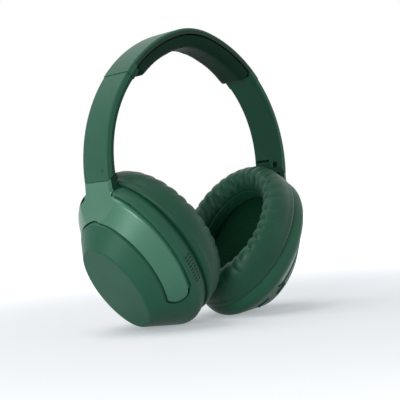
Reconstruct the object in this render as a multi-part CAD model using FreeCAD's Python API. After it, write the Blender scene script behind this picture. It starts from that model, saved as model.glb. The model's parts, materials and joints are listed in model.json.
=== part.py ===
import FreeCAD, Part
import math
import os

# Folding over-ear headphone, in millimetres.
# X runs from the wearer's left to right, Y points to the front, Z is up.
# The origin is on the surface that the cups stand on, below the middle of the arch.
# The right side is built and the left side is its mirror image in the plane X = 0.

V = FreeCAD.Vector

# Arch: a top arc flanked by two flatter side arcs, all measured on the outer face of the arms
arch_top = 178.56
top_radius = 47.7
side_radius = 85.8
join_angle = 15.5
seam_angle = 49.5
foot_angle = 94.3
arm_width = 22.0
seam_gap = 0.35
edge_round = 1.2
far = 60.0

# Headband: shell outside, carrier plate and end covers inside, soft pad below
band_proud = 0.3
shell_thick = 3.6
cover_thick = 3.2
cover_under_pad = 2.2
cover_step = 0.6
cover_tail_angle = 22.2
carrier_angle = 21.5
carrier_width = 16.0
spring_width = 12.0
spring_thick = 0.8
spring_angle = 19.5
pad_thick = 5.4
pad_angle = 44.3
pad_round = 3.4
pad_end_bulge = 1.2
soft_gap = 0.3
fit_gap = 0.1

# Arm: outer shell, inner cover, foot with the fold hinge
arm_thick_top = 6.0
arm_thick_waist = 5.6
arm_thick_foot = 6.8
arm_cover_thick = 2.4

# Slider: a steel strip flatter than the arch, on its own circle
slide_radius = 200.0
slide_middle_angle = 35.0
slide_sag = 0.6
strip_thick = 1.6
strip_width = 14.0
channel_head = 0.6
strip_gap = 0.25
strip_top_angle = 22.0
strip_in_arm = 5.0
notch_pitch = 4.0
notch_count = 6
notch_depth = 1.0

# Fold hinge in the foot of the arm
foot_reach = 20.0
foot_slant = 30.0
hinge_depth = 4.4
knuckle_radius = 2.4
knuckle_rise = 6.3
knuckle_back = -1.6
knuckle_front = 9.6
knuckle_gap = 0.25
knuckle_top_gap = 0.6
fold_pin_radius = 1.1
running_gap = 0.05
fold_pin_overhang = 2.6
fold_pin_front = 10.2
screw_place = -7.0
screw_rise = 5.6
screw_head_radius = 1.9
screw_shank_radius = 0.8
screw_head_thick = 1.1
screw_hole_radius = 2.1
screw_hole_depth = 1.9
screw_length = 5.0

# Cup housing: ovals at named distances out from the cushion seam
cup_x = 41.0
cup_z = 47.66
cup_lean = 35.0
seam_out, seam_half_y, seam_half_z = 0.3, 36.5, 48.2
belly_out, belly_half_y, belly_half_z = 8.0, 38.8, 49.9
edge_out = 13.0
face_out, face_half_y, face_half_z = 33.5, 19.0, 29.0
seam_drop, face_drop = 1.0, 3.3
seam_steps, belly_steps, flank_steps = 3, 4, 4
face_round, rim_steps = 0.8, 3

# Yoke: a fork let into the housing's flank
fork_inner_half_y, fork_inner_half_z, fork_inner_drop = 27.4, 37.6, 1.0
fork_outer_half_y, fork_outer_half_z = 36.1, 47.3
fork_thick = 4.6
fork_low_out = 7.0
trim_thick = 2.2
slot_inner_gap, slot_outer_gap = 0.8, 1.5
slot_floor_gap = 1.25
slot_reach = 3.0
housing_wall = 1.8
slope_factor = 1.21
fork_sink = 1.5
pivot_out = 19.4
pivot_up = -18.0
tip_radius = 6.9
tip_gap = 1.1
tip_reach = 12.0
tip_thick = 4.0
tip_slant = -0.33
pivot_pin_radius = 1.75
pivot_pin_length = 9.8
pivot_pin_cover = 2.8
pivot_pin_play = 0.6
boss_radius = 4.2
boss_length = 7.2
crown_half_y = 12.2
crown_inner_out = 0.6
crown_split_out = 8.9
crown_crease_out = 13.4
crown_floor_up = 39.0
crown_gap = 0.7
cushion_top_up = 48.8
neck_low_out, neck_low_up = 20.5, 36.6
neck_hollow = 1.8
trim_side_thick = 1.6
split_reach = 2.0
crease_inset = 0.7
crease_widen = 1.4
neck_steps = 6

# Ear cushion, on the inner side of the seam
cushion_thick = 21.0
cushion_half_y, cushion_half_z = 40.3, 49.2
cushion_base_draw = 2.0
cushion_base_share = 0.2
crest_start = 0.4
crest_draw_y, crest_draw_z = 7.6, 11.2
crest_steps = 6
hole_half_y, hole_half_z, hole_drop = 24.9, 31.0, 1.0
hole_flare = 6.3
hole_flare_from = 0.35
hole_waist = 0.7
hole_steps = 5
hole_lip = 1.8

# Parts inside each cup
plate_thick = 0.8
plate_inset = 1.8
cloth_thick = 0.8
baffle_out = 2.6
baffle_thick = 2.2
baffle_inset = 3.4
baffle_top_wall = 1.0
cavity_least_y = 16.0
cavity_least_z = 26.0
driver_radius = 20.0
driver_lip = 2.0
driver_depth = 3.0
magnet_radius = 10.0
magnet_depth = 5.0
diaphragm_thick = 0.4
diaphragm_dome = 1.2
board_out, board_thick = 16.2, 1.2
board_half_y, board_half_z = 15.0, 26.0
board_post_up, board_post_radius = 22.5, 2.0
battery_thick, battery_width, battery_height = 5.0, 18.0, 34.0

# Buttons on the rear lower rim of the right cup
button_length, button_width, button_height = 9.0, 3.2, 2.4
button_travel = 0.4
button_gap = 0.15
button_proud = 0.7
power_button_turn, power_button_out = 236.0, 28.0
mode_button_turn, mode_button_out = 212.0, 22.5

# Sockets on the front lower rim of the left cup
charge_width, charge_height, charge_depth, charge_wall = 9.0, 3.3, 7.0, 0.35
charge_turn = 168.0
jack_radius = 1.78
jack_sleeve_radius = 3.0
jack_depth = 14.0
jack_turn = 148.0
socket_out = 6.4
socket_sink = 0.5

# Worked out from the sizes above
side_x = (side_radius - top_radius) * math.sin(math.radians(join_angle))
side_z = arch_top - top_radius - (side_radius - top_radius) * math.cos(math.radians(join_angle))
top_z = arch_top - top_radius
cushion_start = seam_out - fit_gap / 2 - plate_thick - soft_gap


def polar(radius, angle, x, z):
    """A point at a radius and at an angle from straight up, about a centre in the plane Y = 0."""
    a = math.radians(angle)
    return V(x + radius * math.sin(a), 0, z + radius * math.cos(a))


def side_point(depth, angle):
    """A point on the right side arc, at a depth under the outer face of the arms."""
    return polar(side_radius - depth, angle, -side_x, side_z)


def arc(a, b, c):
    return Part.Arc(a, b, c).toShape()


def line(a, b):
    return Part.LineSegment(a, b).toShape()


def flat(edges):
    return Part.Face(Part.Wire(edges))


def outline(points):
    return Part.Face(Part.makePolygon(points + [points[0]]))


def thick_y(face, low, high):
    """A face in an XZ plane given its width along Y."""
    moved = face.copy()
    moved.translate(V(0, low, 0))
    return moved.extrude(V(0, high - low, 0))


def block(low, high):
    return Part.makeBox(high.x - low.x, high.y - low.y, high.z - low.z, low)


def rod_y(radius, x, z, low, high):
    return Part.makeCylinder(radius, high - low, V(x, low, z), V(0, 1, 0))


def one(shape):
    """The single solid of a boolean's result."""
    solids = sorted(shape.Solids, key=lambda s: s.Volume)
    return solids[-1]


def mirrored(shape):
    return shape.mirror(V(0, 0, 0), V(1, 0, 0))


def placed(shape, place):
    moved = shape.copy()
    moved.Placement = place.multiply(moved.Placement)
    return moved


def export(name, shape):
    solid = one(shape)
    if not solid.isValid():
        print("not valid:", name)
    solid.exportStep("parts/" + name + ".step")


# Frames that the right side is built in
cup_place = FreeCAD.Placement(V(cup_x, 0, cup_z), FreeCAD.Rotation(V(0, 1, 0), cup_lean))
foot_place = FreeCAD.Placement(side_point(0, foot_angle), FreeCAD.Rotation(V(0, 1, 0), foot_angle - 90))


def foot_to_cup(x, z):
    """A point given in the foot's frame, outward and up the arm, as the cup's frame has it."""
    return cup_place.inverse().multVec(foot_place.multVec(V(x, 0, z)))


# Arch pieces

def arch_slab(depth_out, depth_in, end_angle, half_width):
    """Part of the arch between two depths, from one end angle over the top to the other."""
    def edges(depth):
        r_top = top_radius - depth
        ends = [
            V(-side_point(depth, end_angle).x, 0, side_point(depth, end_angle).z),
            V(-side_point(depth, (end_angle + join_angle) / 2).x, 0,
              side_point(depth, (end_angle + join_angle) / 2).z),
            polar(r_top, -join_angle, 0, top_z),
            polar(r_top, 0, 0, top_z),
            polar(r_top, join_angle, 0, top_z),
            side_point(depth, (end_angle + join_angle) / 2),
            side_point(depth, end_angle),
        ]
        return ends, [arc(*ends[0:3]), arc(*ends[2:5]), arc(*ends[4:7])]

    outer, outer_edges = edges(depth_out)
    inner, inner_edges = edges(depth_in)
    face = flat(outer_edges + [line(outer[-1], inner[-1])] + inner_edges[::-1] + [line(inner[0], outer[0])])
    return thick_y(face, -half_width, half_width)


def side_slab(depth_out, depths_in, start, end, half_width):
    """Part of the right side arc. The inner arc runs through three depths: start, middle and end."""
    middle = (start + end) / 2
    a, b, c = (side_point(depth_out, t) for t in (start, middle, end))
    d, e, f = (side_point(depth, t) for depth, t in zip(depths_in, (start, middle, end)))
    face = flat([arc(a, b, c), line(c, f), arc(f, e, d), line(d, a)])
    return thick_y(face, -half_width, half_width)


def rounded(shape, edges, radius):
    return shape.makeFillet(radius, edges)


def edges_at(shape, depth_low, depth_high, half_width):
    """Curved edges on the side faces whose depth under the arms' outer face is in a range."""
    found = []
    for e in shape.Edges:
        box = e.BoundBox
        if box.YLength > 0.01 or abs(abs(box.YMin) - half_width) > 0.01 or e.Length < 4:
            continue
        p = e.valueAt((e.FirstParameter + e.LastParameter) / 2)
        on_top = math.degrees(math.atan2(abs(p.x), p.z - top_z)) < join_angle and p.z > top_z
        if on_top:
            depth = top_radius - math.hypot(p.x, p.z - top_z)
        else:
            depth = side_radius - math.hypot(abs(p.x) + side_x, p.z - side_z)
        if depth_low < depth < depth_high:
            found.append(e)
    return found


# Slider circle, through the middle of the band's sleeve
band_middle_depth = (shell_thick + cover_thick) / 2 - band_proud
slide_middle = side_point(band_middle_depth + slide_sag, slide_middle_angle)
slide_centre = slide_middle - V(math.sin(math.radians(slide_middle_angle)), 0,
                                math.cos(math.radians(slide_middle_angle))) * slide_radius


def slide_angle(distance):
    """The angle on the slider's circle of a place at a distance down the strip from its middle."""
    return slide_middle_angle + math.degrees(distance / slide_radius)


def strip_slab(distance_top, distance_low, grow, half_width):
    """The strip, or its channel when grown, between two distances along the strip."""
    r_out = slide_radius + strip_thick / 2 + grow
    r_in = slide_radius - strip_thick / 2 - grow
    low, middle, high = (slide_angle(d) for d in
                         (distance_low, (distance_low + distance_top) / 2, distance_top))
    x, z = slide_centre.x, slide_centre.z
    a, b, c = (polar(r_out, t, x, z) for t in (high, middle, low))
    d, e, f = (polar(r_in, t, x, z) for t in (high, middle, low))
    face = flat([arc(a, b, c), line(c, f), arc(f, e, d), line(d, a)])
    return thick_y(face, -half_width, half_width)


strip_low = math.radians(seam_angle - slide_middle_angle) * (side_radius - band_middle_depth) + strip_in_arm
strip_high = -math.radians(slide_middle_angle - strip_top_angle) * (side_radius - band_middle_depth)


def make_slider():
    strip = strip_slab(strip_high, strip_low, 0, strip_width / 2)
    for side in (-1, 1):
        for i in range(notch_count):
            at = slide_angle(strip_high + notch_pitch * (i + 1.5))
            centre = polar(slide_radius, at, slide_centre.x, slide_centre.z)
            axis = V(math.sin(math.radians(at)), 0, math.cos(math.radians(at)))
            start = centre - axis * strip_thick + V(0, side * strip_width / 2, 0)
            strip = strip.cut(Part.makeCylinder(notch_depth, 2 * strip_thick, start, axis))
    return strip


def make_channel():
    return strip_slab(strip_high - channel_head, strip_low + strip_in_arm, strip_gap, strip_width / 2 + strip_gap)


def both_sides(shape):
    return shape.fuse(mirrored(shape))


def make_headband_shell():
    half = arm_width / 2 + band_proud
    shell = arch_slab(-band_proud, shell_thick - band_proud, seam_angle, half)
    shell = rounded(shell, edges_at(shell, -band_proud - 0.1, -band_proud + 0.1, half), edge_round)
    recess = arch_slab(shell_thick - band_proud - spring_thick - fit_gap, shell_thick, spring_angle + 0.3,
                       spring_width / 2 + fit_gap)
    return shell.cut(recess).cut(both_sides(make_channel()))


def make_spring():
    top = shell_thick - band_proud - spring_thick
    return arch_slab(top, top + spring_thick - fit_gap, spring_angle, spring_width / 2)


def make_carrier():
    top = shell_thick - band_proud + fit_gap
    return arch_slab(top, top + cover_under_pad - fit_gap, carrier_angle, carrier_width / 2)


def make_end_cover():
    """The inner half of the band's end: full depth where it shows, thinner and narrower under the pad."""
    top = shell_thick - band_proud + fit_gap
    half = arm_width / 2 + band_proud
    shown_from = pad_angle + cover_step
    bottom = top - fit_gap + cover_thick
    shown = side_slab(top, [bottom] * 3, shown_from, seam_angle, half)
    shown = rounded(shown, edges_at(shown, bottom - 0.1, bottom + 0.1, half), edge_round)
    tail = side_slab(top, [top - fit_gap + cover_under_pad] * 3, cover_tail_angle, shown_from + 0.5,
                     carrier_width / 2)
    return shown.fuse(tail).cut(make_channel())


def make_pad():
    """The soft pad: full width, rounded below, with bulged ends, and a recess for the plates above it."""
    half = arm_width / 2 + band_proud - 0.1
    top = shell_thick - band_proud + soft_gap
    bottom = shell_thick - band_proud + cover_under_pad + pad_thick
    pad = arch_slab(top, bottom, pad_angle, half)
    pad = rounded(pad, edges_at(pad, bottom - 0.1, bottom + 0.1, half), pad_round)
    ends = [e for e in pad.Edges if is_pad_end(e, bottom)]
    if ends:
        pad = rounded(pad, ends, pad_end_bulge)
    recess = arch_slab(shell_thick - band_proud - 1, shell_thick - band_proud + cover_under_pad + soft_gap,
                       pad_angle + 2, carrier_width / 2 + soft_gap)
    return pad.cut(recess)


def is_pad_end(edge, bottom):
    """True for the straight edge across the pad's underside at either end."""
    if abs(edge.BoundBox.YLength - edge.Length) > 0.01 or edge.Length < 5:
        return False
    p = edge.valueAt((edge.FirstParameter + edge.LastParameter) / 2)
    q = side_point(bottom, pad_angle)
    return (V(abs(p.x), 0, p.z) - q).Length < 0.5


# Arm

arm_start = seam_angle + math.degrees(seam_gap / side_radius)


def below_foot(gap):
    """Everything under the arm's slanted foot, in the foot's frame. The slant rises inwards."""
    rise = math.tan(math.radians(foot_slant))
    inner, outer = -arm_thick_foot - 4, 4
    points = [V(outer, 0, -outer * rise - gap), V(inner, 0, -inner * rise - gap), V(inner, 0, -foot_reach),
              V(outer, 0, -foot_reach)]
    return thick_y(outline(points), -arm_width, arm_width)


def make_arm():
    """The whole arm before it is parted into shell and cover, with the hinge's pocket and holes."""
    half = arm_width / 2
    arm = side_slab(0, [arm_thick_top, arm_thick_waist, arm_thick_foot], arm_start, foot_angle, half)
    arm = rounded(arm, edges_at(arm, -0.1, 0.1, half), edge_round)
    arm = rounded(arm, edges_at(arm, arm_thick_waist - 0.2, arm_thick_foot + 0.2, half), edge_round * 0.8)
    strip_hole = strip_slab(0, strip_low + fit_gap, fit_gap / 2, strip_width / 2 + fit_gap / 2)
    room = make_hinge_room().fuse(below_foot(0))
    return arm.cut(strip_hole).cut(placed(room, foot_place))


hinge_x = -hinge_depth


def make_hinge_room():
    """What the fold hinge takes out of the arm, in the foot's frame."""
    room = block(V(-arm_thick_foot - 3, knuckle_back - knuckle_gap, -3),
                 V(hinge_x + knuckle_radius + knuckle_gap, knuckle_front + knuckle_gap,
                   knuckle_rise + knuckle_radius + knuckle_top_gap))
    pin = rod_y(fold_pin_radius, hinge_x, knuckle_rise, knuckle_back - fold_pin_overhang, fold_pin_front)
    hole = Part.makeCylinder(screw_hole_radius, 3 + screw_hole_depth,
                             V(-arm_thick_foot - 3, screw_place, screw_rise), V(1, 0, 0))
    shank = Part.makeCylinder(screw_shank_radius, screw_length,
                              V(-arm_thick_foot + screw_hole_depth - 0.1, screw_place, screw_rise), V(1, 0, 0))
    return room.fuse([pin, hole, shank])


def make_arm_split():
    """The inner region of the arm that its cover fills."""
    angles = (seam_angle - 2, (seam_angle + foot_angle + 1) / 2, foot_angle + 3)
    depths = (arm_thick_top - arm_cover_thick, arm_thick_waist - arm_cover_thick, hinge_depth)
    a, b, c = (side_point(depth, t) for depth, t in zip(depths, angles))
    d, e, f = (side_point(2 * arm_thick_foot, t) for t in angles)
    face = flat([arc(a, b, c), line(c, f), arc(f, e, d), line(d, a)])
    return thick_y(face, -arm_width, arm_width)


def make_fold_pin():
    pin = rod_y(fold_pin_radius, hinge_x, knuckle_rise, knuckle_back - fold_pin_overhang, fold_pin_front)
    return placed(pin, foot_place)


def make_arm_screw():
    start = V(-arm_thick_foot + screw_hole_depth - screw_head_thick, screw_place, screw_rise)
    head = Part.makeCylinder(screw_head_radius, screw_head_thick, start, V(1, 0, 0))
    shank = Part.makeCylinder(screw_shank_radius, screw_length - 0.2 + screw_head_thick, start, V(1, 0, 0))
    cross = block(V(start.x - 1, screw_place - 0.2, screw_rise - 1.1),
                  V(start.x + 0.5, screw_place + 0.2, screw_rise + 1.1))
    other = block(V(start.x - 1, screw_place - 1.1, screw_rise - 0.2),
                  V(start.x + 0.5, screw_place + 1.1, screw_rise + 0.2))
    return placed(head.fuse(shank).cut(cross.fuse(other)), foot_place)


# Cup housing and yoke, in the cup's frame: X outward, Y to the front, Z up along the cup

def oval(out, wide, tall, drop=0.0):
    """An upright ellipse across the cup's axis, from its half width, half height and drop of its centre."""
    centre = V(out, 0, -drop)
    ellipse = Part.Ellipse(V(out, 0, tall - drop), V(out, wide, -drop), centre)
    return Part.Wire([ellipse.toShape()])


def prism(wide, tall, start, end, drop=0.0):
    return Part.Face(oval(start, wide, tall, drop)).extrude(V(end - start, 0, 0))


def form_half(out, seam_half, belly_half, face_half):
    """Half a width of the housing at a distance out: a rounded belly, then a straight flank to the face."""
    if out < belly_out:
        share = (belly_out - out) / (belly_out - seam_out)
        return belly_half - (belly_half - seam_half) * share ** 2
    bend = (edge_out - belly_out) / (2 * (face_out - edge_out))
    edge_half = (belly_half + face_half * bend) / (1 + bend)
    slope = (edge_half - face_half) / (face_out - edge_out)
    if out < edge_out:
        return belly_half - slope * (out - belly_out) ** 2 / (2 * (edge_out - belly_out))
    return edge_half - slope * (out - edge_out)


def half_y(out):
    return form_half(out, seam_half_y, belly_half_y, face_half_y)


def half_z(out):
    return form_half(out, seam_half_z, belly_half_z, face_half_z)


def form_drop(out):
    """How far the oval's centre lies below the cup's axis, which grows from the belly to the face."""
    return seam_drop + (face_drop - seam_drop) * max(0.0, (out - belly_out) / (face_out - belly_out))


def form_oval(out, inset, sink=0.0):
    """The housing's oval at a distance out, made smaller by an inset and by a sinking of the flank."""
    share = max(0.0, (out - edge_out) / (face_out - edge_out))
    less = inset * slope_factor + sink * share
    return oval(out, half_y(out) - less, half_z(out) - less, form_drop(out))


def form(inset, sink=0.0, rim=0.0):
    """The housing's outer form, or one whose walls lie a distance further in. The face may have a round rim."""
    end = face_out - rim
    outs = [seam_out + (belly_out - seam_out) * i / seam_steps for i in range(seam_steps)]
    outs += [belly_out + (edge_out - belly_out) * i / belly_steps for i in range(belly_steps)]
    outs += [edge_out + (end - edge_out) * i / flank_steps for i in range(flank_steps + 1)]
    ovals = [form_oval(out, inset, sink) for out in outs]
    for i in range(rim_steps if rim else 0):
        share = (i + 1) / rim_steps
        ovals.append(form_oval(face_out - rim * (1 - share) ** 2, inset + rim * share ** 2, sink))
    return Part.makeLoft(ovals, True, True)


def flank_at(out, up):
    """How far the housing's flank lies from the middle plane at a place."""
    rise = (up + form_drop(out)) / half_z(out)
    return half_y(out) * math.sqrt(1 - rise ** 2)


def pivot_place(side):
    """The pivot's place on the housing's surface, on the front or the rear, and the direction out of it."""
    point = V(pivot_out, flank_at(pivot_out, pivot_up), pivot_up)
    along_out = V(1, flank_at(pivot_out + 0.5, pivot_up) - flank_at(pivot_out - 0.5, pivot_up), 0)
    along_up = V(0, flank_at(pivot_out, pivot_up + 0.5) - flank_at(pivot_out, pivot_up - 0.5), 1)
    normal = along_up.cross(along_out).normalize()
    return V(point.x, side * point.y, point.z), V(normal.x, side * normal.y, normal.z)


def fork_region(inner_gap, outer_gap, end_radius):
    """Between the fork's two ovals, down to its round tips about the pivots. Gaps make it the slot's region."""
    outer = prism(fork_outer_half_y + outer_gap, fork_outer_half_z + outer_gap, -5, far)
    inner = prism(fork_inner_half_y - inner_gap, fork_inner_half_z - inner_gap, -6, far + 1, fork_inner_drop)
    start = fork_low_out - inner_gap
    ridge = pivot_up - tip_slant * flank_at(pivot_out, pivot_up)
    low = ridge + tip_slant * far
    above = outline([V(start, -far, low), V(start, 0, ridge), V(start, far, low), V(start, far, far),
                     V(start, -far, far)])
    keep = above.extrude(V(far, 0, 0))
    for side in (-1, 1):
        middle, axis = pivot_place(side)
        keep = keep.fuse(Part.makeCylinder(end_radius, 2 * tip_reach, middle - axis * tip_reach, axis))
    return outer.cut(inner).common(keep)


# The neck's hollow outer face: a round one from the foot's outer edge down to the cap's upper edge
neck_top = foot_to_cup(0, 0)
neck_chord = V(neck_low_out, 0, neck_low_up) - neck_top
neck_radius = (neck_chord.Length ** 2 / 4 + neck_hollow ** 2) / (2 * neck_hollow)
neck_outward = V(-neck_chord.z, 0, neck_chord.x).normalize()
neck_centre = neck_top + neck_chord * 0.5 + neck_outward * (neck_radius - neck_hollow)


def beyond_neck(depth):
    """Everything outward of the neck's hollow face, or of a face a depth below it."""
    return rod_y(neck_radius + depth, neck_centre.x, neck_centre.z, -far, far)


def on_foot(x):
    """A place on the yoke's top face under the arm's slanted foot, as the cup's frame has it."""
    return foot_to_cup(x, -x * math.tan(math.radians(foot_slant)) - seam_gap)


def neck_section(share):
    """One hexagon of the neck, a share of the way down from the foot to the crown's floor."""
    inner = on_foot(-arm_thick_foot) * (1 - share) + V(crown_inner_out, 0, crown_floor_up) * share
    side = on_foot(-trim_side_thick) * (1 - share) + V(crown_split_out, 0, crown_floor_up) * share
    crease = on_foot(0) * (1 - share) + V(crown_crease_out, 0, crown_floor_up) * share
    half = arm_width / 2
    widen = crown_half_y - half
    inner.y = half + widen * share ** 3
    side.y = half + widen * share ** 2
    crease.y = half - crease_inset + crease_widen * share
    full = [inner, side, crease] + [V(p.x, -p.y, p.z) for p in (crease, side, inner)]
    return Part.makePolygon(full + [full[0]])


def make_neck():
    """The swooping neck: it widens from the foot to the crown."""
    return Part.makeLoft([neck_section(i / neck_steps) for i in range(neck_steps + 1)], True, True)


def make_yoke_body():
    """The yoke before it is parted into trim and frame."""
    band = form(0, fork_sink).common(fork_region(0, 0, tip_radius)).cut(form(fork_thick))
    below_pivots = block(V(-far, -far, -far), V(far, far, pivot_up - pivot_pin_radius))
    band = band.cut(form(tip_thick).common(below_pivots))
    crown = form(0).common(block(V(crown_inner_out, -crown_half_y, crown_floor_up), V(far, crown_half_y, far)))
    body = band.fuse([crown, make_neck()]).cut(beyond_neck(0))
    above_cushion = block(V(-far, -far, -far), V(crown_inner_out, far, cushion_top_up))
    return body.cut(above_cushion)


def make_trim_limit():
    """The region under the trim: the frame fills it. A slanted plane parts them on the neck's two sides."""
    top = on_foot(-trim_side_thick)
    low = V(crown_split_out, 0, crown_floor_up)
    along = (low - top).normalize()
    a, b = top - along * far, low + along * split_reach
    inward = V(-far, 0, 0)
    under_split = thick_y(outline([a, b, b + inward, a + inward]), -far, far)
    return form(trim_thick, fork_sink).fuse(under_split).cut(beyond_neck(trim_thick))


def make_knuckle():
    low = V(-arm_thick_foot, knuckle_back, arm_thick_foot * math.tan(math.radians(foot_slant)) - seam_gap - 4)
    tongue = block(low, V(hinge_x + knuckle_radius, knuckle_front, knuckle_rise))
    barrel = rod_y(knuckle_radius, hinge_x, knuckle_rise, knuckle_back, knuckle_front)
    bore = rod_y(fold_pin_radius + running_gap, hinge_x, knuckle_rise, knuckle_back - 1, knuckle_front + 1)
    return tongue.fuse(barrel).cut(bore)


pivot_pin_outer = flank_at(pivot_out, pivot_up) - pivot_pin_cover
pivot_pin_inner = pivot_pin_outer - pivot_pin_length


def pivot_rods(radius, inner, outer):
    front = rod_y(radius, pivot_out, pivot_up, inner, outer)
    rear = rod_y(radius, pivot_out, pivot_up, -outer, -inner)
    return front, rear


def make_yoke():
    body = make_yoke_body()
    limit = make_trim_limit()
    trim = one(body.cut(limit))
    frame = one(body.common(limit))
    knuckle = placed(placed(make_knuckle(), foot_place), cup_place.inverse())
    frame = frame.fuse(knuckle.cut(trim))
    for hole in pivot_rods(pivot_pin_radius, pivot_pin_inner, pivot_pin_outer):
        frame = frame.cut(hole)
        trim = trim.cut(hole)
    return trim, frame


def make_cavity():
    """The hollow in the housing: its wall leaves room for the fork's slot all round."""
    less = (fork_thick + slot_floor_gap + housing_wall) * slope_factor
    shapes = []
    end = face_out - housing_wall
    outs = [baffle_out] + [edge_out + (end - edge_out) * i / flank_steps for i in range(flank_steps + 1)]
    for out in outs:
        wide = half_y(max(out, edge_out)) - less
        tall = half_z(max(out, edge_out)) - less
        shapes.append(oval(out, max(wide, cavity_least_y), max(tall, cavity_least_z), form_drop(out)))
    return Part.makeLoft(shapes, True, True)


def on_form(out, turn):
    """A place on the housing's surface and the direction out of it. Turn is measured from the cup's top."""
    a = math.radians(turn)
    point = V(out, half_y(out) * math.sin(a), half_z(out) * math.cos(a) - form_drop(out))
    tilt = math.atan(half_y(out - 0.5) - half_y(out + 0.5))
    around = V(0, math.sin(a) / half_y(out), math.cos(a) / half_z(out)).normalize()
    normal = V(math.sin(tilt), 0, 0) + around * math.cos(tilt)
    return point, normal.normalize(), V(0, -around.z, around.y)


def pill(point, normal, along, length, width, low, high):
    """A bar with round ends, its long side along a direction, between two heights along its normal."""
    across = normal.cross(along)
    ends = [point - along * (length - width) / 2, point + along * (length - width) / 2]
    side = across * (width / 2)
    base = [p + normal * low for p in ends]
    edges = [
        line(base[0] + side, base[1] + side),
        arc(base[1] + side, base[1] + along * (width / 2), base[1] - side),
        line(base[1] - side, base[0] - side),
        arc(base[0] - side, base[0] - along * (width / 2), base[0] + side),
    ]
    return flat(edges).extrude(normal * (high - low))


def make_button(turn, out, grow=0.0, deeper=0.0):
    """A pill-shaped button in its place, or the pocket for it when grown."""
    point, normal, along = on_form(out, turn)
    return pill(point, normal, along, button_length + 2 * grow, button_width + 2 * grow,
                -button_height - deeper, button_proud + (3 if grow else 0))


def make_jack(radius, start, depth):
    point, normal, along = on_form(socket_out, jack_turn)
    outward = V(0, normal.y, normal.z).normalize()
    return Part.makeCylinder(radius, depth, point - outward * start, outward * -1)


def make_charge(grow, start, depth):
    point, normal, along = on_form(socket_out, charge_turn)
    outward = V(0, normal.y, normal.z).normalize()
    return pill(point, outward, along, charge_width + 2 * grow, charge_height + 2 * grow, -start - depth, -start)


def baffle_shape(gap, start, end):
    """The baffle's outline: an oval with its top cut off below the crown's notch."""
    full = prism(seam_half_y - baffle_inset + gap, seam_half_z - baffle_inset + gap, start, end, seam_drop)
    top = crown_floor_up - crown_gap - baffle_top_wall + gap
    return full.common(block(V(start - 1, -far, -far), V(end + 1, far, top)))


def make_housing():
    """The cup's housing with the fork's slot, the crown's notch and the hollow inside."""
    body = form(0, rim=face_round)
    slot = form(-slot_reach).common(fork_region(slot_inner_gap, slot_outer_gap, tip_radius + tip_gap))
    slot = slot.cut(form(fork_thick + slot_floor_gap))
    notch = block(V(-far, -crown_half_y - crown_gap, crown_floor_up - crown_gap),
                  V(far, crown_half_y + crown_gap, far))
    body = body.cut(slot).cut(notch).cut(make_cavity()).cut(baffle_shape(fit_gap / 2, -1, baffle_out))
    boss_inner = pivot_pin_inner - housing_wall
    for boss in pivot_rods(boss_radius, boss_inner, boss_inner + boss_length):
        body = body.fuse(boss.common(form(fork_thick + slot_floor_gap)))
    for up in (board_post_up, -board_post_up):
        post = Part.makeCylinder(board_post_radius, face_out - 1 - board_out - board_thick,
                                 V(board_out + board_thick, 0, up), V(1, 0, 0))
        body = body.fuse(post)
    for hole in pivot_rods(pivot_pin_radius + running_gap, pivot_pin_inner - pivot_pin_play, far):
        body = body.cut(hole)
    return body


# Parts on the inner side of the cup

def make_plate():
    outer = prism(seam_half_y - plate_inset, seam_half_z - plate_inset, seam_out - fit_gap / 2 - plate_thick,
                  seam_out - fit_gap / 2, seam_drop)
    return outer.cut(prism(hole_half_y - hole_lip, hole_half_z - hole_lip, -far, far, hole_drop))


def make_baffle():
    disc = baffle_shape(0, baffle_out - baffle_thick, baffle_out)
    opening = Part.makeCylinder(driver_radius - driver_lip, 2 * far, V(-far, 0, 0), V(1, 0, 0))
    return disc.cut(opening)


def make_driver():
    frame = Part.makeCylinder(driver_radius, driver_depth, V(baffle_out, 0, 0), V(1, 0, 0))
    bowl = Part.makeCylinder(driver_radius - driver_lip, driver_depth - 1, V(baffle_out - 0.1, 0, 0), V(1, 0, 0))
    magnet = Part.makeCylinder(magnet_radius, magnet_depth, V(baffle_out + driver_depth, 0, 0), V(1, 0, 0))
    return frame.cut(bowl), magnet


def make_diaphragm():
    """A thin dome across the driver, held at its edge between the driver's frame and the baffle's lip."""
    radius = driver_radius - driver_lip - fit_gap / 2
    ball = (radius ** 2 + diaphragm_dome ** 2) / (2 * diaphragm_dome)
    start = baffle_out + 0.2
    outer = Part.makeSphere(ball, V(start - diaphragm_dome + ball, 0, 0))
    inner = Part.makeSphere(ball, V(start - diaphragm_dome + ball + diaphragm_thick, 0, 0))
    slab = block(V(start - 5, -radius - 5, -radius - 5), V(start + diaphragm_thick, radius + 5, radius + 5))
    return outer.cut(inner).common(slab).common(Part.makeCylinder(radius, 10, V(start - 5, 0, 0), V(1, 0, 0)))


def make_cloth():
    start = seam_out - fit_gap / 2 - plate_thick - cloth_thick
    return prism(hole_half_y - soft_gap, hole_half_z - soft_gap, start, start + cloth_thick, hole_drop)


def cushion_oval(share):
    """The soft ring's outline a share of the way to its crest: full at the sides, drawn in at both ends."""
    rise = max(0.0, (share - crest_start) / (1 - crest_start)) ** 2
    base = cushion_base_draw * max(0.0, 1 - share / cushion_base_share) ** 2
    return oval(cushion_start - cushion_thick * share, cushion_half_y - crest_draw_y * rise - base,
                cushion_half_z - crest_draw_z * rise - base, seam_drop)


def hole_oval(share):
    """The ear hole's outline: a waist over the plate, then a flare up to the crest."""
    flare = hole_flare * max(0.0, (share - hole_flare_from) / (1 - hole_flare_from)) ** 2
    waist = hole_waist * math.sin(math.pi * min(1.0, max(0.0, share / hole_flare_from)))
    return oval(cushion_start - cushion_thick * share, hole_half_y + flare - waist, hole_half_z + flare - waist,
                hole_drop)


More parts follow.
